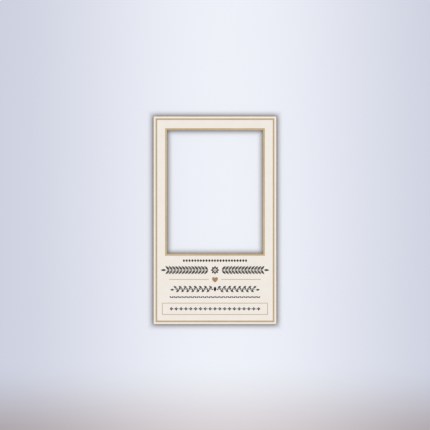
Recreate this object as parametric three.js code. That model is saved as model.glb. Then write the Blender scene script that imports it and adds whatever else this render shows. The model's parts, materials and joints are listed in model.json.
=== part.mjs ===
// A photo booth frame: a tall printed board with a large window to pose behind.
// A foam sheet with a paper liner on each side carries a printed film. Gold bands close the outer edges,
// gold angle trim lines the window, and gold foil lines and a heart decorate the face.
// Millimetres, +Z up. The printed face looks along -Y. The origin is the middle of the bottom edge.

import * as THREE from "three";

// Overall size, and the widths of the sides from an outer edge to the clear window
const OVERALL_WIDTH = 610;
const OVERALL_HEIGHT = 1031;
const SIDE_RAIL = 67.2;
const TOP_RAIL = 68.8;
const LOWER_FIELD = 349.3;

// Thicknesses of the bonded sheets
const CORE_THICKNESS = 9;
const LINER_THICKNESS = 0.5;
const FILM_THICKNESS = 0.25;
const FOIL_THICKNESS = 0.15;

// Fits: the adhesive between bonded faces, the slip fit in the window cut, and the gap left at a mitre
const GLUE_LINE = 0.1;
const TRIM_FIT = 0.3;
const MITRE_GAP = 0.2;

// Edge band, as deep as the whole board
const BAND_THICKNESS = 2;
const BAND_ROUNDING = 1.2;

// Window trim, an angle section
const TRIM_FACE = 8.8;
const TRIM_WALL = 1.2;
const TRIM_NOSE_RADIUS = 1;
const TRIM_LIP_RADIUS = 0.6;

// Foil line inside the outer edge
const BORDER_INSET = 10.8;
const BORDER_WIDTH = 8;

// Divider under the window: a heart between two rules
const DIVIDER_DROP = 126.8;
const RULE_WIDTH = 2.8;
const RULE_SIDE_MARGIN = 78;
const RULE_HEART_GAP = 16;
const HEART_WIDTH = 29.5;
const HEART_HEIGHT = 26.5;
const HEART_DIP = 4.5;
const HEART_CHEEK = 8.4;
const HEART_DROP = 2.1;

// Outlined panel at the foot of the board
const PANEL_SIDE_MARGIN = 43.2;
const PANEL_RISE = 47.4;
const PANEL_HEIGHT = 59.2;
const PANEL_LINE = 3;

// Fineness of the round corners and of the heart's curves
const CORNER_STEPS = 4;
const HEART_STEPS = 16;

// Finishes
const CREAM_PRINT = { color: 0xf0eae2, roughness: 0.5, metalness: 0 };
const WHITE_PAPER = { color: 0xf3f2ee, roughness: 0.8, metalness: 0 };
const WHITE_FOAM = { color: 0xfafaf7, roughness: 0.9, metalness: 0 };
const GOLD_TRIM = { color: 0xc2aa83, roughness: 0.4, metalness: 0.6 };
const GOLD_FOIL = { color: 0xb59c78, roughness: 0.35, metalness: 0.7 };
const BRONZE_FOIL = { color: 0xa5885e, roughness: 0.35, metalness: 0.7 };

// The bonded sheets from the back of the board to its face
const LAYERS = [
  { name: "back_liner", thickness: LINER_THICKNESS, finish: WHITE_PAPER },
  { name: "foam_core", thickness: CORE_THICKNESS, finish: WHITE_FOAM },
  { name: "front_liner", thickness: LINER_THICKNESS, finish: WHITE_PAPER },
  { name: "print_film", thickness: FILM_THICKNESS, finish: CREAM_PRINT },
];

// Sizes that follow. Depths are measured from the back of the board towards its face.
const WINDOW_WIDTH = OVERALL_WIDTH - 2 * SIDE_RAIL;
const WINDOW_HEIGHT = OVERALL_HEIGHT - TOP_RAIL - LOWER_FIELD;
const WINDOW_MIDDLE = LOWER_FIELD + WINDOW_HEIGHT / 2;
const DIVIDER_MIDDLE = LOWER_FIELD - DIVIDER_DROP;
const FACE_DEPTH = LAYERS.reduce((depth, layer) => depth + layer.thickness + GLUE_LINE, -GLUE_LINE);
const SEAT_DEPTH = FACE_DEPTH + GLUE_LINE;
const BACK_Y = FACE_DEPTH / 2;

const photoFrame = new THREE.Group();

function addPiece(parent, name, geometry, finish) {
  const piece = new THREE.Mesh(geometry, new THREE.MeshStandardMaterial(finish));
  piece.name = name;
  parent.add(piece);
  return piece;
}

// Draws a rectangle about (0, middle) on a path, which can be an outline or a hole
function drawRectangle(path, width, height, middle) {
  path.moveTo(-width / 2, middle - height / 2);
  path.lineTo(width / 2, middle - height / 2);
  path.lineTo(width / 2, middle + height / 2);
  path.lineTo(-width / 2, middle + height / 2);
  path.closePath();
  return path;
}

function extrude(shape, depth, curveSegments) {
  return new THREE.ExtrudeGeometry(shape, { depth, curveSegments, bevelEnabled: false });
}

// Stands a flat shape up: its Y becomes Z, and its thickness grows towards the face of the board
function uprightSheet(shape, thickness) {
  return extrude(shape, thickness, HEART_STEPS).rotateX(Math.PI / 2);
}

// The outline that the bonded sheets share, cut to take the edge bands and the window trim
function boardShape() {
  const bandRoom = 2 * (BAND_THICKNESS + GLUE_LINE);
  const trimRoom = 2 * (TRIM_WALL + TRIM_FIT);
  const board = new THREE.Shape();
  drawRectangle(board, OVERALL_WIDTH - bandRoom, OVERALL_HEIGHT - bandRoom, OVERALL_HEIGHT / 2);
  const cut = new THREE.Path();
  drawRectangle(cut, WINDOW_WIDTH + trimRoom, WINDOW_HEIGHT + trimRoom, WINDOW_MIDDLE);
  board.holes.push(cut);
  return board;
}

function addBoard() {
  let depth = 0;
  for (const { name, thickness, finish } of LAYERS) {
    const sheet = addPiece(photoFrame, name, uprightSheet(boardShape(), thickness), finish);
    sheet.position.y = BACK_Y - depth;
    depth += thickness + GLUE_LINE;
  }
}

// A straight run of a section along X with both ends mitred. The section's X points away from the middle of
// the ring, so a point that lies further out also reaches further along the run. Its Y is a depth.
function mitredRun(section, length) {
  const geometry = extrude(section, length, CORNER_STEPS);
  const points = geometry.getAttribute("position");
  const halfLength = length / 2 - MITRE_GAP / Math.SQRT2;
  for (let i = 0; i < points.count; i++) {
    const outward = points.getX(i);
    const end = Math.sign(points.getZ(i) - length / 2);
    points.setXYZ(i, end * (halfLength + outward), -points.getY(i), outward);
  }
  geometry.computeVertexNormals();
  return geometry;
}

// Four mitred runs round a rectangle, whose sides are the section's zero line
function addRing(name, section, width, height, middle, finish) {
  const sides = [
    { side: "top", turn: 0, length: width, reach: height / 2 },
    { side: "right", turn: Math.PI / 2, length: height, reach: width / 2 },
    { side: "bottom", turn: Math.PI, length: width, reach: height / 2 },
    { side: "left", turn: -Math.PI / 2, length: height, reach: width / 2 },
  ];
  for (const { side, turn, length, reach } of sides) {
    const turned = new THREE.Group();
    turned.position.set(0, BACK_Y, middle);
    turned.rotation.y = turn;
    photoFrame.add(turned);
    const run = addPiece(turned, `${name}_${side}`, mitredRun(section, length), finish);
    run.position.z = reach;
  }
}

// A flat strip with rounded outer corners
function addEdgeBand() {
  const section = new THREE.Shape();
  section.moveTo(-BAND_THICKNESS, FACE_DEPTH);
  section.lineTo(-BAND_THICKNESS, 0);
  section.lineTo(-BAND_ROUNDING, 0);
  section.absarc(-BAND_ROUNDING, BAND_ROUNDING, BAND_ROUNDING, -Math.PI / 2, 0);
  section.absarc(-BAND_ROUNDING, FACE_DEPTH - BAND_ROUNDING, BAND_ROUNDING, 0, Math.PI / 2);
  section.closePath();
  addRing("edge_band", section, OVERALL_WIDTH, OVERALL_HEIGHT, OVERALL_HEIGHT / 2, GOLD_TRIM);
}

// An angle: one leg lines the window cut and the other lies on the printed face
function addWindowTrim() {
  const front = SEAT_DEPTH + TRIM_WALL;
  const section = new THREE.Shape();
  section.moveTo(0, 0);
  section.lineTo(TRIM_WALL, 0);
  section.lineTo(TRIM_WALL, SEAT_DEPTH);
  section.lineTo(TRIM_FACE, SEAT_DEPTH);
  section.absarc(TRIM_FACE - TRIM_LIP_RADIUS, front - TRIM_LIP_RADIUS, TRIM_LIP_RADIUS, 0, Math.PI / 2);
  section.absarc(TRIM_NOSE_RADIUS, front - TRIM_NOSE_RADIUS, TRIM_NOSE_RADIUS, Math.PI / 2, Math.PI);
  section.closePath();
  addRing("window_trim", section, WINDOW_WIDTH, WINDOW_HEIGHT, WINDOW_MIDDLE, GOLD_TRIM);
}

function addBorderFoil() {
  const outer = -BORDER_INSET;
  const inner = outer - BORDER_WIDTH;
  const section = new THREE.Shape();
  section.moveTo(inner, SEAT_DEPTH);
  section.lineTo(outer, SEAT_DEPTH);
  section.lineTo(outer, SEAT_DEPTH + FOIL_THICKNESS);
  section.lineTo(inner, SEAT_DEPTH + FOIL_THICKNESS);
  section.closePath();
  addRing("border_foil", section, OVERALL_WIDTH, OVERALL_HEIGHT, OVERALL_HEIGHT / 2, GOLD_FOIL);
}

// A piece of cut foil on the printed face, with its shape's origin at the given place
function addFoil(name, shape, x, z, finish) {
  const foil = addPiece(photoFrame, name, uprightSheet(shape, FOIL_THICKNESS), finish);
  foil.position.set(x, BACK_Y - SEAT_DEPTH, z);
}

// Two round lobes that meet in the dip, and full cheeks that curve in from them to the tip
function heartShape() {
  const halfWidth = HEART_WIDTH / 2;
  const lobeRadius = halfWidth + HEART_DIP - Math.sqrt(HEART_WIDTH * HEART_DIP);
  const lobeX = halfWidth - lobeRadius;
  const lobeY = HEART_HEIGHT / 2 - lobeRadius;
  const cheekY = lobeY - HEART_CHEEK;
  const dipAngle = Math.acos(-lobeX / lobeRadius);
  const heart = new THREE.Shape();
  heart.absarc(lobeX, lobeY, lobeRadius, 0, dipAngle);
  heart.absarc(-lobeX, lobeY, lobeRadius, Math.PI - dipAngle, Math.PI);
  heart.quadraticCurveTo(-halfWidth, cheekY, 0, -HEART_HEIGHT / 2);
  heart.quadraticCurveTo(halfWidth, cheekY, halfWidth, lobeY);
  return heart;
}

function addDivider() {
  const innerEnd = HEART_WIDTH / 2 + RULE_HEART_GAP;
  const outerEnd = OVERALL_WIDTH / 2 - RULE_SIDE_MARGIN;
  const ruleMiddle = (innerEnd + outerEnd) / 2;
  const ruleShape = drawRectangle(new THREE.Shape(), outerEnd - innerEnd, RULE_WIDTH, 0);
  addFoil("divider_rule_left", ruleShape, -ruleMiddle, DIVIDER_MIDDLE, GOLD_FOIL);
  addFoil("heart_foil", heartShape(), 0, DIVIDER_MIDDLE - HEART_DROP, BRONZE_FOIL);
  addFoil("divider_rule_right", ruleShape, ruleMiddle, DIVIDER_MIDDLE, GOLD_FOIL);
}

function addPanelOutline() {
  const width = OVERALL_WIDTH - 2 * PANEL_SIDE_MARGIN;
  const outline = drawRectangle(new THREE.Shape(), width, PANEL_HEIGHT, 0);
  const inside = new THREE.Path();
  drawRectangle(inside, width - 2 * PANEL_LINE, PANEL_HEIGHT - 2 * PANEL_LINE, 0);
  outline.holes.push(inside);
  addFoil("panel_outline", outline, 0, PANEL_RISE + PANEL_HEIGHT / 2, GOLD_FOIL);
}

addBoard();
addEdgeBand();
addWindowTrim();
addBorderFoil();
addDivider();
addPanelOutline();

export default photoFrame;
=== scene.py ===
import json
import math

import bmesh
import bpy
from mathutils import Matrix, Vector


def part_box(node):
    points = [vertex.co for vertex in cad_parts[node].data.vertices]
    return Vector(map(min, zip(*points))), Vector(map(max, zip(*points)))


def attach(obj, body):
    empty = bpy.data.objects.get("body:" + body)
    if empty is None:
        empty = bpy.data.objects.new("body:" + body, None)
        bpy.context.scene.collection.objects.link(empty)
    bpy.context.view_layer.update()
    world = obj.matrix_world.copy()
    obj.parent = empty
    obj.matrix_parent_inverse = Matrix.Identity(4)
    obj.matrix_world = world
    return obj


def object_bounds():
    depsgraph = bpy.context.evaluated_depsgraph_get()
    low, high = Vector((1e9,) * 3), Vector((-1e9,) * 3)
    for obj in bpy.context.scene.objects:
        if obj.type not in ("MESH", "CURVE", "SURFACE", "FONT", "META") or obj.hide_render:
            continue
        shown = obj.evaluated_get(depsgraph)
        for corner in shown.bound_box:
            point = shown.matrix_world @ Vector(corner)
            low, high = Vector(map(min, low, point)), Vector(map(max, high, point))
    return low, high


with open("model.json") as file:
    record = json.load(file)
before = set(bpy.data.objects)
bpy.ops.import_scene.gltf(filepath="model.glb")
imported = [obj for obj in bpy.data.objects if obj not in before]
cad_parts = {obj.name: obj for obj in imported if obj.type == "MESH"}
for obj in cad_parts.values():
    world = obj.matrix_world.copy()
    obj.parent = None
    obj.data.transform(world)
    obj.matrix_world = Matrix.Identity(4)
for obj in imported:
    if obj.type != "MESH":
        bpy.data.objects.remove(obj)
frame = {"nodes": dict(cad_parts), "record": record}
cad_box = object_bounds()

# Photograph: its frame and the board's outline in it, in pixels
FRAME_PIXELS = 430
BOARD_LEFT_PIXEL = 153.40
BOARD_RIGHT_PIXEL = 276.57
BOARD_TOP_PIXEL = 116.17
BOARD_BOTTOM_PIXEL = 324.38

# Camera, in millimetres of lens and sensor
LENS = 100.0
SENSOR = 36.0

# Studio, in metres, watts and strengths. A fade, rise or spread runs from its first place to its second.
# Each part of the net has a margin past the board, a margin into the window, and a softness.
WALL_GAP = 0.005
NET_GAP = 0.001
NET_FIRM = (0.0, 0.0, 0.0005)
NET_SOFT = (0.004, 0.0025, 0.030)
FLOOR_DROP = 0.70
BACKDROP_HALF_WIDTH = 3.0
WALL_HEIGHT = 3.5
FLOOR_DEPTH = 4.0
BACKDROP_FADE = (1.6, 2.4)
FOOT_FADE = (-0.63, -0.53)
FOOT_RISE = (-0.62, -0.18)
# The wall's painted pool of light: where its middle lies across, and how far out it turns to painted
# shade
BEAM_X = 0.06
BEAM_SPREAD = (0.0, 1.3)
SOFTBOX_DISTANCE = 3.0
SOFTBOX_WIDTH = 10.0
SOFTBOX_HEIGHT = 9.0
FRONT_WATTS = 212.0
BACK_WATTS = 204.0
WORLD_LIGHT = 0.45
WORLD_PALE = 0.62

# Printed ornament, in metres. Drops are measured down from the clear window or from the divider.
# A leaf or petal has its start, length and width, a lozenge its half width and half height,
# the berry its reach and radius, and the seed its length and width.
INK_THICKNESS = 0.00012
INK_DEPTH = 0.00002
BEAD_ROW_DROP = 0.0335
BEAD_ROW_SPAN = 0.308
BEAD_COUNT = 23
BEAD_LOZENGE = (0.0046, 0.0070)
BEAD_DOT = 0.0017
GARLAND_DROP = 0.0805
GARLAND_START = 0.033
GARLAND_SPAN = 0.207
GARLAND_LEAVES = 14
GARLAND_LEAF = (0.0026, 0.0270, 0.0105)
GARLAND_SPREAD = math.radians(44)
GARLAND_STEM = 0.0020
ROSETTE_PETALS = 8
ROSETTE_PETAL = (0.0062, 0.0155, 0.0090)
ROSETTE_EYE = 0.0037
VINE_DROP = 0.0475
VINE_START = 0.013
VINE_SPAN = 0.188
VINE_LEAVES = 16
VINE_WAVE = 0.0035
VINE_LEAF = (0.0020, 0.0190, 0.0100)
VINE_BERRY = (0.0056, 0.0034)
VINE_LEAF_SPREAD = math.radians(35)
VINE_BERRY_SPREAD = math.radians(90)
VINE_STEM = 0.0018
VINE_LOZENGE = (0.0070, 0.0120)
SEED_ROW_DROP = 0.0875
SEED_ROW_SPAN = 0.4386
SEED_COUNT = 44
SEED = (0.0120, 0.0070)
SEED_TILT = math.radians(35)
FLORET_ROW_SPAN = 0.432
FLORET_COUNT = 19
FLORET_PETALS = 4
FLORET_PETAL = (0.0014, 0.0073, 0.0072)
FLORET_EYE = 0.0011
FLORET_DOT = 0.0020
VEIN = 0.0006

# Outlines of the motifs: points to each curve, how full the curves are, and the least gap between points
DOT_STEPS = 16
LOZENGE_STEPS = 5
LOZENGE_TAPER = 1.3
LEAF_STEPS = 9
LEAF_FULLNESS = 0.8
STEM_STEPS = 8
MERGE_DISTANCE = 0.000002

# Grain, cells and marks of the finishes, in features a metre
CREAM_MOTTLE = 22.0
PAPER_MOTTLE = 35.0
INK_MOTTLE = 260.0
FINE_FIBRE = 1400.0
PAPER_FIBRE = 900.0
FOAM_CELLS = 700.0
CREAM_MARKS = 9.0
METAL_MARKS = 14.0
FOIL_MARKS = 40.0
PAPER_MARKS = 7.0
ARRIS_RUBS = 60.0

# Brushing, in features a metre: along and across a length of metal, and along X, Y and Z on the foil
METAL_LINE = (6.0, 2600.0)
METAL_TONE = (3.0, 180.0)
FOIL_LINE = (40.0, 5000.0, 5000.0)
FOIL_TONE = (12.0, 70.0, 70.0)

# Height of the grain in metres, and how strongly it shows
FIBRE_RAISE = (0.00003, 0.5)
BRUSH_RAISE = (0.00001, 0.5)
FOIL_RAISE = (0.00001, 0.4)
PAPER_RAISE = (0.00006, 0.6)
CELL_RAISE = (0.0003, 0.8)

# Roughness of each finish where its mask is 0 and where it is 1
CREAM_ROUGHNESS = (0.52, 0.42)
TRIM_ROUGHNESS = (0.42, 0.34)
BAND_ROUGHNESS = (0.40, 0.32)
FOIL_ROUGHNESS = (0.38, 0.30)
PAPER_ROUGHNESS = (0.70, 0.90)
FOAM_ROUGHNESS = (0.85, 0.95)
INK_ROUGHNESS = (0.50, 0.65)
INK_SPECULAR = 0.2

# How far each side of its middle a mask turns the deep tone into the light one
CREAM_SPREAD = 0.30
METAL_SPREAD = 0.15
FOIL_SPREAD = 0.35
PAPER_SPREAD = 0.25
FOAM_SPREAD = 0.40
INK_SPREAD = 0.20

# Masks: the detail of their noise, the stretch of it that counts, and how much of a tone they bring
MOTTLE_DETAIL = 4.0
FIBRE_DETAIL = 6.0
BRUSH_DETAIL = 3.0
MARKS_DETAIL = 3.0
MARKS_RANGE = (0.45, 0.75)
WEAR_DETAIL = 5.0
WEAR_RANGE = (0.42, 0.66)
# The foil's painted sheen: the stretch of its noise that lights a patch, and how much of the light tone
# it brings
FOIL_SHEEN_RANGE = (0.4, 0.7)
FOIL_SHEEN = 0.6
PAPER_SOIL = 0.5

# The most that facing times sideways comes to, halfway round an arris
ARRIS_PEAK = 0.25

# Colours as they look, in 8-bit sRGB
CREAM_LIGHT = (242, 235, 226)
CREAM_DEEP = (237, 230, 220)
GOLD_LIGHT = (189, 166, 129)
GOLD_DEEP = (172, 147, 109)
GOLD_RUBBED = (222, 203, 168)
FOIL_LIGHT = (179, 157, 125)
FOIL_DEEP = (160, 138, 107)
BRONZE_LIGHT = (153, 126, 88)
BRONZE_DEEP = (137, 111, 75)
PAPER_LIGHT = (246, 245, 241)
PAPER_DEEP = (241, 240, 236)
FOAM_LIGHT = (252, 252, 249)
FOAM_DEEP = (240, 240, 236)
INK_LIGHT = (34, 33, 32)
INK_DEEP = (18, 17, 17)
FLOOR = (240, 238, 238)
SKY = (249, 250, 252)

# Plain wall behind the board in painted light and painted shade: lit in a pool round the middle, shaded
# at the sides, and its foot where the floor's tone is thrown on it
WALL_LIT = (240, 242, 249)
WALL_SHADED = (205, 209, 224)
FOOT_LIT = (214, 206, 208)
FOOT_SHADED = (170, 160, 163)


def linear(colour):
    """The linear colour, with alpha, of an 8-bit sRGB one."""
    channels = [c / 255 for c in colour]
    return [c / 12.92 if c <= 0.04045 else ((c + 0.055) / 1.055) ** 2.4 for c in channels] + [1.0]


# Places on the board
FACE_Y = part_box("print_film")[0].y
WINDOW_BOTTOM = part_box("window_trim_bottom")[1].z
WINDOW_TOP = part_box("window_trim_top")[0].z
WINDOW_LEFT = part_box("window_trim_left")[1].x
WINDOW_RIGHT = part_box("window_trim_right")[0].x
BOARD_LOW, BOARD_HIGH = cad_box
BOARD_MIDDLE = (BOARD_LOW + BOARD_HIGH) / 2
DIVIDER_Z = sum(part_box("divider_rule_left"), Vector()).z / 2
PANEL_Z = sum(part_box("panel_outline"), Vector()).z / 2


# Nodes


def add_node(tree, kind, **settings):
    """A new node, with its settings and, by name, its inputs as sockets or plain values."""
    node = tree.nodes.new(kind)
    for key, value in settings.items():
        socket = node.inputs.get(key.replace("_", " ").title())
        if socket is None:
            setattr(node, key, value)
        elif isinstance(value, bpy.types.NodeSocket):
            tree.links.new(value, socket)
        else:
            socket.default_value = value
    return node


def calculate(tree, operation, *operands):
    """The output of a Math node whose operands are sockets or numbers."""
    node = add_node(tree, "ShaderNodeMath", operation=operation)
    for socket, operand in zip(node.inputs, operands):
        if isinstance(operand, bpy.types.NodeSocket):
            tree.links.new(operand, socket)
        else:
            socket.default_value = operand
    return node.outputs[0]


def in_range(tree, mask, low, high, start=0.0, end=1.0, smooth=False):
    """A value from low to high as the mask goes from start to end."""
    kind = "SMOOTHSTEP" if smooth else "LINEAR"
    span = add_node(
        tree,
        "ShaderNodeMapRange",
        interpolation_type=kind,
        value=mask,
        from_min=start,
        from_max=end,
        to_min=low,
        to_max=high,
    )
    return span.outputs["Result"]


def blend_colours(tree, mask, first, second):
    """The first colour where the mask is 0 and the second where it is 1."""
    mix = add_node(tree, "ShaderNodeMix", data_type="RGBA")
    tree.links.new(mask, mix.inputs[0])
    for socket, colour in ((mix.inputs[6], first), (mix.inputs[7], second)):
        if isinstance(colour, bpy.types.NodeSocket):
            tree.links.new(colour, socket)
        else:
            socket.default_value = linear(colour)
    return mix.outputs[2]


def new_group(name, kind, inputs, outputs):
    """A node group with named sockets, and its input and output nodes."""
    tree = bpy.data.node_groups.new(name, kind)
    for socket, value_type in inputs:
        tree.interface.new_socket(socket, in_out="INPUT", socket_type="NodeSocket" + value_type)
    for socket, value_type in outputs:
        tree.interface.new_socket(socket, in_out="OUTPUT", socket_type="NodeSocket" + value_type)
    return tree, tree.nodes.new("NodeGroupInput").outputs, tree.nodes.new("NodeGroupOutput").inputs


# Surface effects that several finishes share


def object_place(tree):
    return add_node(tree, "ShaderNodeTexCoord").outputs["Object"]


def paper_grain_group():
    """Soft mottling and fine fibre, each from 0 to 1."""
    tree, given, result = new_group(
        "paper_grain",
        "ShaderNodeTree",
        [("Mottle Scale", "Float"), ("Fibre Scale", "Float")],
        [("Mottle", "Float"), ("Fibre", "Float")],
    )
    place = object_place(tree)
    for effect, detail in (("Mottle", MOTTLE_DETAIL), ("Fibre", FIBRE_DETAIL)):
        scale = given[effect + " Scale"]
        noise = add_node(tree, "ShaderNodeTexNoise", vector=place, scale=scale, detail=detail)
        tree.links.new(noise.outputs["Fac"], result[effect])
    return tree


def brushed_grain_group():
    """Fine lines drawn out along one axis, and slow changes of tone along them, each from 0 to 1."""
    tree, given, result = new_group(
        "brushed_grain",
        "ShaderNodeTree",
        [("Line Stretch", "Vector"), ("Tone Stretch", "Vector")],
        [("Line", "Float"), ("Tone", "Float")],
    )
    place = object_place(tree)
    for effect in ("Line", "Tone"):
        mapping = add_node(tree, "ShaderNodeMapping", vector=place, scale=given[effect + " Stretch"])
        noise = add_node(
            tree,
            "ShaderNodeTexNoise",
            vector=mapping.outputs["Vector"],
            scale=1.0,
            detail=BRUSH_DETAIL,
        )
        tree.links.new(noise.outputs["Fac"], result[effect])
    return tree


def handling_marks_group():
    """Patches where hands have polished a surface, from 0 to 1."""
    tree, given, result = new_group(
        "handling_marks", "ShaderNodeTree", [("Scale", "Float")], [("Marks", "Float")]
    )
    noise = add_node(
        tree,
        "ShaderNodeTexNoise",
        vector=object_place(tree),
        scale=given["Scale"],
        detail=MARKS_DETAIL,
    )
    patches = in_range(tree, noise.outputs["Fac"], 0.0, 1.0, *MARKS_RANGE)
    tree.links.new(patches, result["Marks"])
    return tree


def arris_wear_group():
    """Broken rubbing on the rounded arrises between a face and a side, from 0 to 1."""
    tree, given, result = new_group(
        "arris_wear", "ShaderNodeTree", [("Scale", "Float")], [("Wear", "Float")]
    )
    texture = add_node(tree, "ShaderNodeTexCoord").outputs
    depth = add_node(tree, "ShaderNodeSeparateXYZ", vector=texture["Normal"]).outputs["Y"]
    facing = calculate(tree, "MULTIPLY", depth, depth)
    sideways = calculate(tree, "SUBTRACT", 1.0, facing)
    between = calculate(tree, "MULTIPLY", facing, sideways)
    arris = calculate(tree, "DIVIDE", between, ARRIS_PEAK)
    noise = add_node(
        tree,
        "ShaderNodeTexNoise",
        vector=texture["Object"],
        scale=given["Scale"],
        detail=WEAR_DETAIL,
    )
    broken = in_range(tree, noise.outputs["Fac"], 0.0, 1.0, *WEAR_RANGE)
    tree.links.new(calculate(tree, "MULTIPLY", arris, broken), result["Wear"])
    return tree


PAPER_GRAIN = paper_grain_group()
BRUSHED_GRAIN = brushed_grain_group()
HANDLING_MARKS = handling_marks_group()
ARRIS_WEAR = arris_wear_group()


# Finishes


def new_finish(name):
    """A material, its tree and its Principled shader."""
    material = bpy.data.materials.new(name)
    material.use_nodes = True
    tree = material.node_tree
    return material, tree, tree.nodes["Principled BSDF"]


def add_effect(tree, group, **values):
    """Places a shared effect in a finish and returns its outputs."""
    effect = tree.nodes.new("ShaderNodeGroup")
    effect.node_tree = group
    for key, value in values.items():
        effect.inputs[key.replace("_", " ").title()].default_value = value
    return effect.outputs


def two_tones(tree, mask, deep, light, spread):
    """A colour that goes from deep to light as the mask passes its middle."""
    share = in_range(tree, mask, 0.0, 1.0, 0.5 - spread, 0.5 + spread)
    return blend_colours(tree, share, deep, light)


def raised(tree, height, distance, strength):
    """The normal of a surface that a height mask raises by a distance in metres."""
    bump = add_node(tree, "ShaderNodeBump", height=height, distance=distance, strength=strength)
    return bump.outputs["Normal"]


def dress(tree, shader, colour, roughness, normal):
    """Links what varies over the surface to the shader."""
    tree.links.new(colour, shader.inputs["Base Color"])
    tree.links.new(roughness, shader.inputs["Roughness"])
    tree.links.new(normal, shader.inputs["Normal"])


def cream_print():
    """Satin print film, a little polished where hands hold it."""
    material, tree, shader = new_finish("cream_print")
    grain = add_effect(tree, PAPER_GRAIN, mottle_scale=CREAM_MOTTLE, fibre_scale=FINE_FIBRE)
    marks = add_effect(tree, HANDLING_MARKS, scale=CREAM_MARKS)["Marks"]
    colour = two_tones(tree, grain["Mottle"], CREAM_DEEP, CREAM_LIGHT, CREAM_SPREAD)
    gloss = in_range(tree, marks, *CREAM_ROUGHNESS)
    dress(tree, shader, colour, gloss, raised(tree, grain["Fibre"], *FIBRE_RAISE))
    return material


def brushed_along(stretch, along_x):
    """The stretch in X, Y and Z of brushing that runs along X or along Z."""
    along, across = stretch
    return Vector((along, across, across)) if along_x else Vector((across, across, along))


def gold_metal(name, along_x, roughness):
    """Gold with a fine grain along the length of the piece and rubbed arrises."""
    material, tree, shader = new_finish(name)
    shader.inputs["Metallic"].default_value = 1.0
    grain = add_effect(
        tree,
        BRUSHED_GRAIN,
        line_stretch=brushed_along(METAL_LINE, along_x),
        tone_stretch=brushed_along(METAL_TONE, along_x),
    )
    marks = add_effect(tree, HANDLING_MARKS, scale=METAL_MARKS)["Marks"]
    wear = add_effect(tree, ARRIS_WEAR, scale=ARRIS_RUBS)["Wear"]
    metal = two_tones(tree, grain["Tone"], GOLD_DEEP, GOLD_LIGHT, METAL_SPREAD)
    colour = blend_colours(tree, wear, metal, GOLD_RUBBED)
    gloss = in_range(tree, marks, *roughness)
    dress(tree, shader, colour, gloss, raised(tree, grain["Line"], *BRUSH_RAISE))
    return material


def stamped_foil(name, deep, light):
    """Satin foil whose fine brushing runs across the board, as it came off the roll, with a painted
    sheen in broad lighter patches.
    """
    material, tree, shader = new_finish(name)
    shader.inputs["Metallic"].default_value = 1.0
    grain = add_effect(tree, BRUSHED_GRAIN, line_stretch=FOIL_LINE, tone_stretch=FOIL_TONE)
    marks = add_effect(tree, HANDLING_MARKS, scale=FOIL_MARKS)["Marks"]
    satin = two_tones(tree, grain["Line"], deep, light, FOIL_SPREAD)
    # Broad lighter patches over the satin are a painted sheen
    painted_sheen = in_range(tree, grain["Tone"], 0.0, FOIL_SHEEN, *FOIL_SHEEN_RANGE)
    colour = blend_colours(tree, painted_sheen, satin, light)
    gloss = in_range(tree, marks, *FOIL_ROUGHNESS)
    dress(tree, shader, colour, gloss, raised(tree, grain["Line"], *FOIL_RAISE))
    return material


def white_paper():
    """The uncoated liner on the board's back."""
    material, tree, shader = new_finish("white_paper")
    grain = add_effect(tree, PAPER_GRAIN, mottle_scale=PAPER_MOTTLE, fibre_scale=PAPER_FIBRE)
    marks = add_effect(tree, HANDLING_MARKS, scale=PAPER_MARKS)["Marks"]
    paper = two_tones(tree, grain["Mottle"], PAPER_DEEP, PAPER_LIGHT, PAPER_SPREAD)
    colour = blend_colours(tree, in_range(tree, marks, 0.0, PAPER_SOIL), paper, PAPER_DEEP)
    gloss = in_range(tree, grain["Fibre"], *PAPER_ROUGHNESS)
    dress(tree, shader, colour, gloss, raised(tree, grain["Fibre"], *PAPER_RAISE))
    return material


def white_foam():
    """Fine closed cells."""
    material, tree, shader = new_finish("white_foam")
    cells = add_node(tree, "ShaderNodeTexVoronoi", vector=object_place(tree), scale=FOAM_CELLS)
    size = cells.outputs["Distance"]
    colour = two_tones(tree, size, FOAM_LIGHT, FOAM_DEEP, FOAM_SPREAD)
    gloss = in_range(tree, size, *FOAM_ROUGHNESS)
    dress(tree, shader, colour, gloss, raised(tree, size, *CELL_RAISE))
    return material


def charcoal_ink():
    """A dense print, a little uneven in its laydown."""
    material, tree, shader = new_finish("charcoal_ink")
    shader.inputs["Specular IOR Level"].default_value = INK_SPECULAR
    grain = add_effect(tree, PAPER_GRAIN, mottle_scale=INK_MOTTLE, fibre_scale=FINE_FIBRE)
    colour = two_tones(tree, grain["Mottle"], INK_DEEP, INK_LIGHT, INK_SPREAD)
    gloss = in_range(tree, grain["Fibre"], *INK_ROUGHNESS)
    dress(tree, shader, colour, gloss, raised(tree, grain["Fibre"], *FIBRE_RAISE))
    return material


def dress_board():
    """Gives each CAD node the finish of its slot, with metal grain along the piece."""
    plain = {
        "print_cream": cream_print(),
        "liner_white": white_paper(),
        "foam_white": white_foam(),
        "gold_foil": stamped_foil("gold_foil", FOIL_DEEP, FOIL_LIGHT),
        "bronze_foil": stamped_foil("bronze_foil", BRONZE_DEEP, BRONZE_LIGHT),
    }
    grained = {}
    for slot, roughness in (("gold_trim", TRIM_ROUGHNESS), ("gold_band", BAND_ROUGHNESS)):
        for along_x, direction in ((True, "across"), (False, "upright")):
            grained[slot, along_x] = gold_metal(f"{slot}_{direction}", along_x, roughness)
    for subpart in frame["record"]["subparts"]:
        slot = subpart["material_slot"]
        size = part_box(subpart["node"])[1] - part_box(subpart["node"])[0]
        finish = plain.get(slot) or grained[slot, size.x > size.z]
        frame["nodes"][subpart["node"]].material_slots[0].material = finish


# Ornament motifs, as closed outlines in X and Z


def dot_outline(radius, centre=0.0):
    turns = [2 * math.pi * i / DOT_STEPS for i in range(DOT_STEPS)]
    return [(centre + radius * math.cos(turn), radius * math.sin(turn)) for turn in turns]


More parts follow.
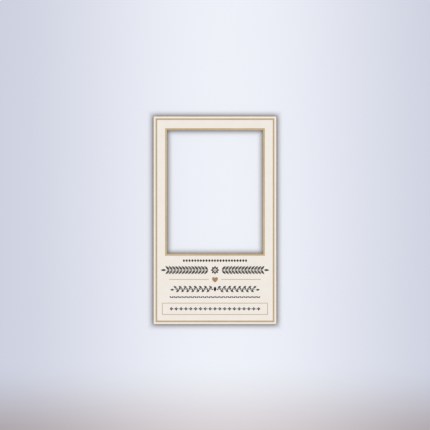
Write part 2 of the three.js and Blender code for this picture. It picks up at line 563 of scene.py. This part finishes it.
def lozenge_outline(half_width, half_height):
    """A lozenge with full sides."""
    outline = []
    for step in range(4 * LOZENGE_STEPS):
        turn = math.pi / 2 * step / LOZENGE_STEPS
        across, up = math.cos(turn), math.sin(turn)
        x = half_width * math.copysign(abs(across) ** LOZENGE_TAPER, across)
        z = half_height * math.copysign(abs(up) ** LOZENGE_TAPER, up)
        outline.append((x, z))
    return outline


def half_leaf_outline(start, length, width, vein):
    """The upper half of a leaf that grows along X: a straight vein edge and a full outer edge."""
    outline = [(start, vein / 2), (start + length, vein / 2)]
    for step in range(LEAF_STEPS - 1, 0, -1):
        share = step / LEAF_STEPS
        bulge = (width - vein) / 2 * math.sin(math.pi * share**LEAF_FULLNESS)
        outline.append((start + length * share, vein / 2 + bulge))
    return outline


def mirrored(outline):
    """The outline turned over about X, still drawn anticlockwise."""
    return [(x, -z) for x, z in reversed(outline)]


def turned(outline, turn):
    """The outline turned from X towards Z."""
    across, up = math.cos(turn), math.sin(turn)
    return [(x * across - z * up, x * up + z * across) for x, z in outline]


def leaf_outlines(start, length, width):
    """A leaf in two halves with a bare vein between them."""
    half = half_leaf_outline(start, length, width, VEIN)
    return [half, mirrored(half)]


def petal_outline(start, length, width):
    """A leaf shape without a vein."""
    half = half_leaf_outline(start, length, width, 0.0)
    return [half[0]] + mirrored(half[2:]) + half[1:]


def floret_outlines(petals, petal, eye):
    """Petals round an eye."""
    whole = petal_outline(*petal)
    return [dot_outline(eye)] + [turned(whole, 2 * math.pi * i / petals) for i in range(petals)]


def ink_motif(name, outlines):
    """A motif of flat ink with its back on the plane Y = 0 and its face towards -Y."""
    shape = bmesh.new()
    for outline in outlines:
        back = [shape.verts.new((x, 0.0, z)) for x, z in outline]
        face = [shape.verts.new((x, -INK_THICKNESS, z)) for x, z in outline]
        shape.faces.new(face)
        shape.faces.new(back[::-1])
        for i in range(len(outline)):
            j = (i + 1) % len(outline)
            shape.faces.new((face[i], back[i], back[j], face[j]))
    mesh = bpy.data.meshes.new(name)
    shape.to_mesh(mesh)
    shape.free()
    motif = bpy.data.objects.new(name, mesh)
    bpy.context.scene.collection.objects.link(motif)
    return motif


# Ornament rows, made with Geometry Nodes


def turn_about_depth(tree, angle):
    """A rotation that turns X towards Z by an angle."""
    turn = add_node(tree, "ShaderNodeCombineXYZ", y=calculate(tree, "MULTIPLY", angle, -1.0))
    return add_node(tree, "FunctionNodeEulerToRotation", euler=turn.outputs[0]).outputs[0]


def close_ornament(tree, given, result, parts):
    """Joins the parts, moves them to their place and ends the tree."""
    joined = add_node(tree, "GeometryNodeJoinGeometry")
    for part in reversed(parts):
        tree.links.new(part, joined.inputs["Geometry"])
    placed = add_node(
        tree, "GeometryNodeTransform", geometry=joined.outputs[0], translation=given["Place"]
    )
    real = add_node(tree, "GeometryNodeRealizeInstances", geometry=placed.outputs[0])
    inked = add_node(
        tree, "GeometryNodeSetMaterial", geometry=real.outputs[0], material=given["Material"]
    )
    tree.links.new(inked.outputs[0], result["Geometry"])


def motif_on(tree, points, motif, angle, **settings):
    """A motif on each point, turned by its angle."""
    shape = add_node(tree, "GeometryNodeObjectInfo", object=motif)
    return add_node(
        tree,
        "GeometryNodeInstanceOnPoints",
        points=points,
        instance=shape.outputs["Geometry"],
        rotation=turn_about_depth(tree, angle),
        **settings,
    ).outputs[0]


def ornament_row_tree():
    """A motif repeated along a straight row, tilted to one side and the other by turns."""
    tree, given, result = new_group(
        "ornament_row",
        "GeometryNodeTree",
        [
            ("Motif", "Object"),
            ("Count", "Int"),
            ("Span", "Float"),
            ("Tilt", "Float"),
            ("Place", "Vector"),
            ("Material", "Material"),
        ],
        [("Geometry", "Geometry")],
    )
    half = calculate(tree, "MULTIPLY", given["Span"], 0.5)
    first = add_node(tree, "ShaderNodeCombineXYZ", x=calculate(tree, "MULTIPLY", half, -1.0))
    last = add_node(tree, "ShaderNodeCombineXYZ", x=half)
    line = add_node(
        tree,
        "GeometryNodeMeshLine",
        mode="END_POINTS",
        count=given["Count"],
        start_location=first.outputs[0],
        offset=last.outputs[0],
    )
    index = add_node(tree, "GeometryNodeInputIndex").outputs[0]
    side = calculate(tree, "MULTIPLY_ADD", calculate(tree, "FLOORED_MODULO", index, 2.0), 2.0, -1.0)
    tilt = calculate(tree, "MULTIPLY", side, given["Tilt"])
    close_ornament(tree, given, result, [motif_on(tree, line.outputs[0], given["Motif"], tilt)])
    return tree


def leafy_stem_tree():
    """Two stems from the middle outwards, with a leaf and its partner at each crest and a tip leaf."""
    tree, given, result = new_group(
        "leafy_stem",
        "GeometryNodeTree",
        [
            ("Leaf", "Object"),
            ("Partner", "Object"),
            ("Count", "Int"),
            ("Start", "Float"),
            ("Span", "Float"),
            ("Wave", "Float"),
            ("Leaf Spread", "Float"),
            ("Partner Spread", "Float"),
            ("Alternate", "Float"),
            ("Stem Width", "Float"),
            ("Place", "Vector"),
            ("Material", "Material"),
        ],
        [("Geometry", "Geometry")],
    )
    index = add_node(tree, "GeometryNodeInputIndex").outputs[0]
    last = calculate(tree, "SUBTRACT", given["Count"], 1.0)
    steps = calculate(tree, "MULTIPLY", last, STEM_STEPS)
    along = calculate(tree, "DIVIDE", index, steps)
    swing = calculate(tree, "COSINE", calculate(tree, "MULTIPLY", index, math.pi / STEM_STEPS))
    path = add_node(
        tree,
        "ShaderNodeCombineXYZ",
        x=calculate(tree, "MULTIPLY_ADD", along, given["Span"], given["Start"]),
        z=calculate(tree, "MULTIPLY", swing, given["Wave"]),
    )
    line = add_node(tree, "GeometryNodeMeshLine", count=calculate(tree, "ADD", steps, 1.0))
    bent = add_node(
        tree, "GeometryNodeSetPosition", geometry=line.outputs[0], position=path.outputs[0]
    )
    right = add_node(tree, "GeometryNodeMeshToCurve", mesh=bent.outputs[0]).outputs[0]
    left = add_node(tree, "GeometryNodeTransform", geometry=right, scale=(-1.0, 1.0, 1.0)).outputs[0]
    paths = add_node(tree, "GeometryNodeJoinGeometry")
    for half in (left, right):
        tree.links.new(half, paths.inputs["Geometry"])
    flat = add_node(tree, "GeometryNodeSetCurveNormal", mode="Z_UP", curve=paths.outputs[0])
    section = add_node(
        tree,
        "GeometryNodeCurvePrimitiveQuadrilateral",
        width=INK_THICKNESS,
        height=given["Stem Width"],
    )
    stems = add_node(
        tree,
        "GeometryNodeCurveToMesh",
        curve=flat.outputs[0],
        profile_curve=section.outputs[0],
        fill_caps=True,
    )
    laid = add_node(
        tree,
        "GeometryNodeTransform",
        geometry=stems.outputs[0],
        translation=(0.0, -INK_THICKNESS / 2, 0.0),
    )
    crests = add_node(
        tree,
        "GeometryNodeCurveToPoints",
        mode="COUNT",
        curve=paths.outputs[0],
        count=given["Count"],
    )
    points = crests.outputs["Points"]
    here = add_node(tree, "GeometryNodeInputPosition").outputs[0]
    across = add_node(tree, "ShaderNodeSeparateXYZ", vector=here).outputs["X"]
    outwards = calculate(tree, "MULTIPLY", calculate(tree, "LESS_THAN", across, 0.0), math.pi)
    order = calculate(tree, "FLOORED_MODULO", index, given["Count"])
    odd = calculate(tree, "FLOORED_MODULO", order, 2.0)
    swapped = calculate(tree, "MULTIPLY", odd, given["Alternate"])
    swap = calculate(tree, "MULTIPLY_ADD", swapped, -2.0, 1.0)
    side = calculate(tree, "MULTIPLY", calculate(tree, "SIGN", across), swap)
    leaf_turn = calculate(tree, "MULTIPLY_ADD", side, given["Leaf Spread"], outwards)
    back_turn = calculate(tree, "MULTIPLY", side, given["Partner Spread"])
    partner_turn = calculate(tree, "SUBTRACT", outwards, back_turn)
    at_tip = calculate(tree, "COMPARE", order, last, 0.5)
    below_tip = calculate(tree, "SUBTRACT", 1.0, at_tip)
    parts = [
        laid.outputs[0],
        motif_on(tree, points, given["Leaf"], leaf_turn, selection=below_tip),
        motif_on(tree, points, given["Partner"], partner_turn, selection=below_tip),
        motif_on(tree, points, given["Leaf"], outwards, selection=at_tip),
    ]
    close_ornament(tree, given, result, parts)
    return tree


def run_tree(name, tree, **values):
    """A plain mesh object made by a tree from its named inputs."""
    piece = bpy.data.objects.new(name, bpy.data.meshes.new(name))
    bpy.context.scene.collection.objects.link(piece)
    modifier = piece.modifiers.new(name, "NODES")
    modifier.node_group = tree
    for socket in tree.interface.items_tree:
        if socket.in_out == "INPUT":
            modifier[socket.identifier] = values[socket.name.lower().replace(" ", "_")]
    depsgraph = bpy.context.evaluated_depsgraph_get()
    made = bpy.data.meshes.new_from_object(piece.evaluated_get(depsgraph))
    piece.modifiers.remove(modifier)
    piece.data = made
    made.name = name
    return piece


def face_outwards(mesh):
    """Merges doubled points and turns every face outwards."""
    shape = bmesh.new()
    shape.from_mesh(mesh)
    bmesh.ops.remove_doubles(shape, verts=shape.verts, dist=MERGE_DISTANCE)
    bmesh.ops.recalc_face_normals(shape, faces=shape.faces)
    shape.to_mesh(mesh)
    shape.free()


def add_ornaments():
    """Five rows of printed ornament under the window."""
    ink = charcoal_ink()
    rosette = floret_outlines(ROSETTE_PETALS, ROSETTE_PETAL, ROSETTE_EYE)
    floret = floret_outlines(FLORET_PETALS, FLORET_PETAL, FLORET_EYE)
    berry_reach, berry_radius = VINE_BERRY
    motifs = {
        "lozenge": ink_motif("bead_lozenge", [lozenge_outline(*BEAD_LOZENGE)]),
        "bead": ink_motif("bead_dot", [dot_outline(BEAD_DOT)]),
        "garland_leaf": ink_motif("garland_leaf", leaf_outlines(*GARLAND_LEAF)),
        "rosette": ink_motif("garland_rosette", rosette),
        "vine_leaf": ink_motif("vine_leaf", leaf_outlines(*VINE_LEAF)),
        "berry": ink_motif("vine_berry", [dot_outline(berry_radius, berry_reach)]),
        "vine_lozenge": ink_motif("vine_lozenge", [lozenge_outline(*VINE_LOZENGE)]),
        "seed": ink_motif("seed", [petal_outline(-SEED[0] / 2, *SEED)]),
        "floret": ink_motif("floret", floret),
        "floret_dot": ink_motif("floret_dot", [dot_outline(FLORET_DOT)]),
    }
    bead_dot_span = BEAD_ROW_SPAN - BEAD_ROW_SPAN / (BEAD_COUNT - 1)
    floret_dot_span = FLORET_ROW_SPAN - FLORET_ROW_SPAN / (FLORET_COUNT - 1)
    bead_z = WINDOW_BOTTOM - BEAD_ROW_DROP
    garland_z = WINDOW_BOTTOM - GARLAND_DROP
    vine_z = DIVIDER_Z - VINE_DROP
    rows = [
        ("bead_row_lozenges", "lozenge", BEAD_COUNT, BEAD_ROW_SPAN, 0.0, bead_z),
        ("bead_row_dots", "bead", BEAD_COUNT - 1, bead_dot_span, 0.0, bead_z),
        ("garland_rosette_print", "rosette", 1, 0.0, 0.0, garland_z),
        ("vine_lozenge_print", "vine_lozenge", 1, 0.0, 0.0, vine_z),
        ("seed_row", "seed", SEED_COUNT, SEED_ROW_SPAN, SEED_TILT, DIVIDER_Z - SEED_ROW_DROP),
        ("floret_row", "floret", FLORET_COUNT, FLORET_ROW_SPAN, 0.0, PANEL_Z),
        ("floret_row_dots", "floret_dot", FLORET_COUNT - 1, floret_dot_span, 0.0, PANEL_Z),
    ]
    stems = [
        (
            "garland",
            {
                "leaf": motifs["garland_leaf"],
                "partner": motifs["garland_leaf"],
                "count": GARLAND_LEAVES,
                "start": GARLAND_START,
                "span": GARLAND_SPAN,
                "wave": 0.0,
                "leaf_spread": GARLAND_SPREAD,
                "partner_spread": GARLAND_SPREAD,
                "alternate": 0.0,
                "stem_width": GARLAND_STEM,
            },
            garland_z,
        ),
        (
            "vine",
            {
                "leaf": motifs["vine_leaf"],
                "partner": motifs["berry"],
                "count": VINE_LEAVES,
                "start": VINE_START,
                "span": VINE_SPAN,
                "wave": VINE_WAVE,
                "leaf_spread": VINE_LEAF_SPREAD,
                "partner_spread": VINE_BERRY_SPREAD,
                "alternate": 1.0,
                "stem_width": VINE_STEM,
            },
            vine_z,
        ),
    ]
    row_tree = ornament_row_tree()
    stem_tree = leafy_stem_tree()
    pieces = []
    for name, motif, count, span, tilt, z in rows:
        place = Vector((0.0, FACE_Y + INK_DEPTH, z))
        pieces.append(
            run_tree(
                name,
                row_tree,
                motif=motifs[motif],
                count=count,
                span=span,
                tilt=tilt,
                place=place,
                material=ink,
            )
        )
    for name, values, z in stems:
        place = Vector((0.0, FACE_Y + INK_DEPTH, z))
        pieces.append(run_tree(name, stem_tree, place=place, material=ink, **values))
    for motif in motifs.values():
        bpy.data.objects.remove(motif)
    for piece in pieces:
        face_outwards(piece.data)
        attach(piece, "root")


# Studio


def add_camera():
    """Looks straight at the board, framed as in the photograph."""
    board_width = BOARD_HIGH.x - BOARD_LOW.x
    metres_per_pixel = board_width / (BOARD_RIGHT_PIXEL - BOARD_LEFT_PIXEL)
    middle_across = (BOARD_LEFT_PIXEL + BOARD_RIGHT_PIXEL) / 2 - FRAME_PIXELS / 2
    middle_down = (BOARD_TOP_PIXEL + BOARD_BOTTOM_PIXEL) / 2 - FRAME_PIXELS / 2
    distance = FRAME_PIXELS * metres_per_pixel * LENS / SENSOR
    data = bpy.data.cameras.new("camera")
    data.lens = LENS
    data.sensor_width = SENSOR
    camera = bpy.data.objects.new("camera", data)
    camera.location = (
        BOARD_MIDDLE.x - middle_across * metres_per_pixel,
        FACE_Y - distance,
        BOARD_MIDDLE.z + middle_down * metres_per_pixel,
    )
    camera.rotation_euler = (math.pi / 2, 0.0, 0.0)
    bpy.context.scene.collection.objects.link(camera)
    bpy.context.scene.camera = camera


def show_front_only(tree, shader, fade):
    """Makes the back of a stage surface clear, and its front as far as the fade goes from 0 to 1."""
    either = tree.nodes.new("ShaderNodeMixShader")
    clear = tree.nodes.new("ShaderNodeBsdfTransparent")
    behind = tree.nodes.new("ShaderNodeNewGeometry").outputs["Backfacing"]
    tree.links.new(calculate(tree, "MAXIMUM", behind, fade), either.inputs["Fac"])
    tree.links.new(shader.outputs["BSDF"], either.inputs[1])
    tree.links.new(clear.outputs["BSDF"], either.inputs[2])
    tree.links.new(either.outputs["Shader"], tree.nodes["Material Output"].inputs["Surface"])


def stage_object(name, points, faces, material):
    """A flat surface of the studio, which gloss on the board doesn't mirror."""
    mesh = bpy.data.meshes.new(name)
    mesh.from_pydata(points, [], faces)
    mesh.materials.append(material)
    prop = bpy.data.objects.new(name, mesh)
    prop.visible_glossy = False
    bpy.context.scene.collection.objects.link(prop)
    return prop


def stage_finish(name):
    """A dull finish, its tree and shader, and how far it has faded into the surround, from 0 to 1."""
    material, tree, shader = new_finish(name)
    shader.inputs["Base Color"].default_value = linear(FLOOR)
    shader.inputs["Roughness"].default_value = 1.0
    shader.inputs["Specular IOR Level"].default_value = 0.0
    away = add_node(tree, "ShaderNodeVectorMath", operation="DISTANCE", vector=object_place(tree))
    away.inputs[1].default_value = BOARD_MIDDLE
    fade = in_range(tree, away.outputs["Value"], 0.0, 1.0, *BACKDROP_FADE, smooth=True)
    return material, tree, shader, fade


def floor_finish():
    """A plain pale floor."""
    material, tree, shader, fade = stage_finish("floor")
    show_front_only(tree, shader, fade)
    return material


def backdrop_finish():
    """A pale wall in painted light and shade, deeper at the sides, that fades out above the floor and is
    clear from behind.
    """
    material, tree, shader, fade = stage_finish("backdrop")
    place = add_node(tree, "ShaderNodeSeparateXYZ", vector=object_place(tree)).outputs
    # Painted light and shade: lighter round the middle, darker at the sides and in the warmer foot
    aside = calculate(tree, "ABSOLUTE", calculate(tree, "SUBTRACT", place["X"], BEAM_X))
    shade = in_range(tree, aside, 0.0, 1.0, *BEAM_SPREAD, smooth=True)
    wall = blend_colours(tree, shade, WALL_LIT, WALL_SHADED)
    foot = blend_colours(tree, shade, FOOT_LIT, FOOT_SHADED)
    rise = in_range(tree, place["Z"], 0.0, 1.0, *FOOT_RISE, smooth=True)
    tree.links.new(blend_colours(tree, rise, foot, wall), shader.inputs["Base Color"])
    foot_fade = in_range(tree, place["Z"], 1.0, 0.0, *FOOT_FADE, smooth=True)
    show_front_only(tree, shader, calculate(tree, "MAXIMUM", fade, foot_fade))
    return material


def add_backdrop():
    """A wall close behind the board, and the floor below."""
    wall_y = BOARD_HIGH.y + WALL_GAP
    floor_z = BOARD_LOW.z - FLOOR_DROP
    wall = [(wall_y, WALL_HEIGHT), (wall_y, floor_z)]
    floor = [(wall_y + FLOOR_DEPTH, floor_z), (wall_y - FLOOR_DEPTH, floor_z)]
    surfaces = [("backdrop", wall, backdrop_finish()), ("floor", floor, floor_finish())]
    for name, edge, finish in surfaces:
        points = [(x, y, z) for y, z in edge for x in (-BACKDROP_HALF_WIDTH, BACKDROP_HALF_WIDTH)]
        surface = stage_object(name, points, [(1, 0, 2, 3)], finish)
        surface.visible_shadow = False
        surface.visible_diffuse = False


def within(tree, coordinate, low, high, softness):
    """A mask between two edges, from 0 to 1, that fades over the softness each side of an edge."""
    aside = calculate(tree, "ABSOLUTE", calculate(tree, "SUBTRACT", coordinate, (low + high) / 2))
    depth = calculate(tree, "SUBTRACT", (high - low) / 2, aside)
    return in_range(tree, depth, 0.0, 1.0, -softness, softness, smooth=True)


def crossed(tree, columns, rows):
    """One mask from those of the columns and rows, with corners between square and well rounded."""
    square = calculate(tree, "MINIMUM", columns, rows)
    rounded = calculate(tree, "MULTIPLY", columns, rows)
    return calculate(tree, "MULTIPLY", calculate(tree, "ADD", square, rounded), 0.5)


def board_mask(tree, place, margin, window_margin, softness):
    """A mask of the board and not its window, with a margin past its edges and into the window."""
    board = crossed(
        tree,
        within(tree, place["X"], BOARD_LOW.x - margin, BOARD_HIGH.x + margin, softness),
        within(tree, place["Z"], BOARD_LOW.z - margin, BOARD_HIGH.z + margin, softness),
    )
    window = crossed(
        tree,
        within(tree, place["X"], WINDOW_LEFT + window_margin, WINDOW_RIGHT - window_margin, softness),
        within(tree, place["Z"], WINDOW_BOTTOM + window_margin, WINDOW_TOP - window_margin, softness),
    )
    return calculate(tree, "MULTIPLY", board, calculate(tree, "SUBTRACT", 1.0, window))


def net_finish():
    """Black and firm behind the board, and thinning out past its edges and into its window."""
    material, tree, shader = new_finish("black_net")
    shader.inputs["Base Color"].default_value = (0.0, 0.0, 0.0, 1.0)
    shader.inputs["Specular IOR Level"].default_value = 0.0
    place = add_node(tree, "ShaderNodeSeparateXYZ", vector=object_place(tree)).outputs
    firm = board_mask(tree, place, *NET_FIRM)
    soft = board_mask(tree, place, *NET_SOFT)
    closed = calculate(tree, "MAXIMUM", firm, soft)
    show_front_only(tree, shader, calculate(tree, "SUBTRACT", 1.0, closed))
    return material


def add_net():
    """A black net with soft edges, close behind the board, that deepens its shadow."""
    y = BOARD_HIGH.y + NET_GAP
    margin, _, softness = NET_SOFT
    reach = margin + softness
    left, right = BOARD_LOW.x - reach, BOARD_HIGH.x + reach
    bottom, top = BOARD_LOW.z - reach, BOARD_HIGH.z + reach
    points = [(right, y, bottom), (left, y, bottom), (left, y, top), (right, y, top)]
    net = stage_object("black_net", points, [(0, 1, 2, 3)], net_finish())
    net.visible_camera = False


def add_softbox(name, y, facing_front, watts):
    """A wide soft light, level with the middle of the board."""
    data = bpy.data.lights.new(name, "AREA")
    data.shape = "RECTANGLE"
    data.size = SOFTBOX_WIDTH
    data.size_y = SOFTBOX_HEIGHT
    data.energy = watts
    softbox = bpy.data.objects.new(name, data)
    softbox.location = (0.0, y, BOARD_MIDDLE.z)
    softbox.rotation_euler = (math.pi / 2 if facing_front else -math.pi / 2, 0.0, 0.0)
    softbox.visible_camera = False
    bpy.context.scene.collection.objects.link(softbox)


def add_world():
    """An even surround, paler where it is seen or mirrored than where it lights."""
    world = bpy.data.worlds.new("studio")
    bpy.context.scene.world = world
    world.use_nodes = True
    tree = world.node_tree
    surround = tree.nodes["Background"]
    surround.inputs["Color"].default_value = linear(SKY)
    path = tree.nodes.new("ShaderNodeLightPath").outputs
    reflected = calculate(tree, "MAXIMUM", path["Is Glossy Ray"], path["Is Transmission Ray"])
    seen = calculate(tree, "MAXIMUM", path["Is Camera Ray"], reflected)
    strength = in_range(tree, seen, WORLD_LIGHT, WORLD_PALE)
    tree.links.new(strength, surround.inputs["Strength"])


add_camera()
add_backdrop()
add_net()
add_softbox("softbox_front", BOARD_LOW.y - SOFTBOX_DISTANCE, True, FRONT_WATTS)
add_softbox("softbox_back", BOARD_HIGH.y + SOFTBOX_DISTANCE, False, BACK_WATTS)
add_world()
bpy.context.scene.view_settings.view_transform = "Standard"
dress_board()
add_ornaments()
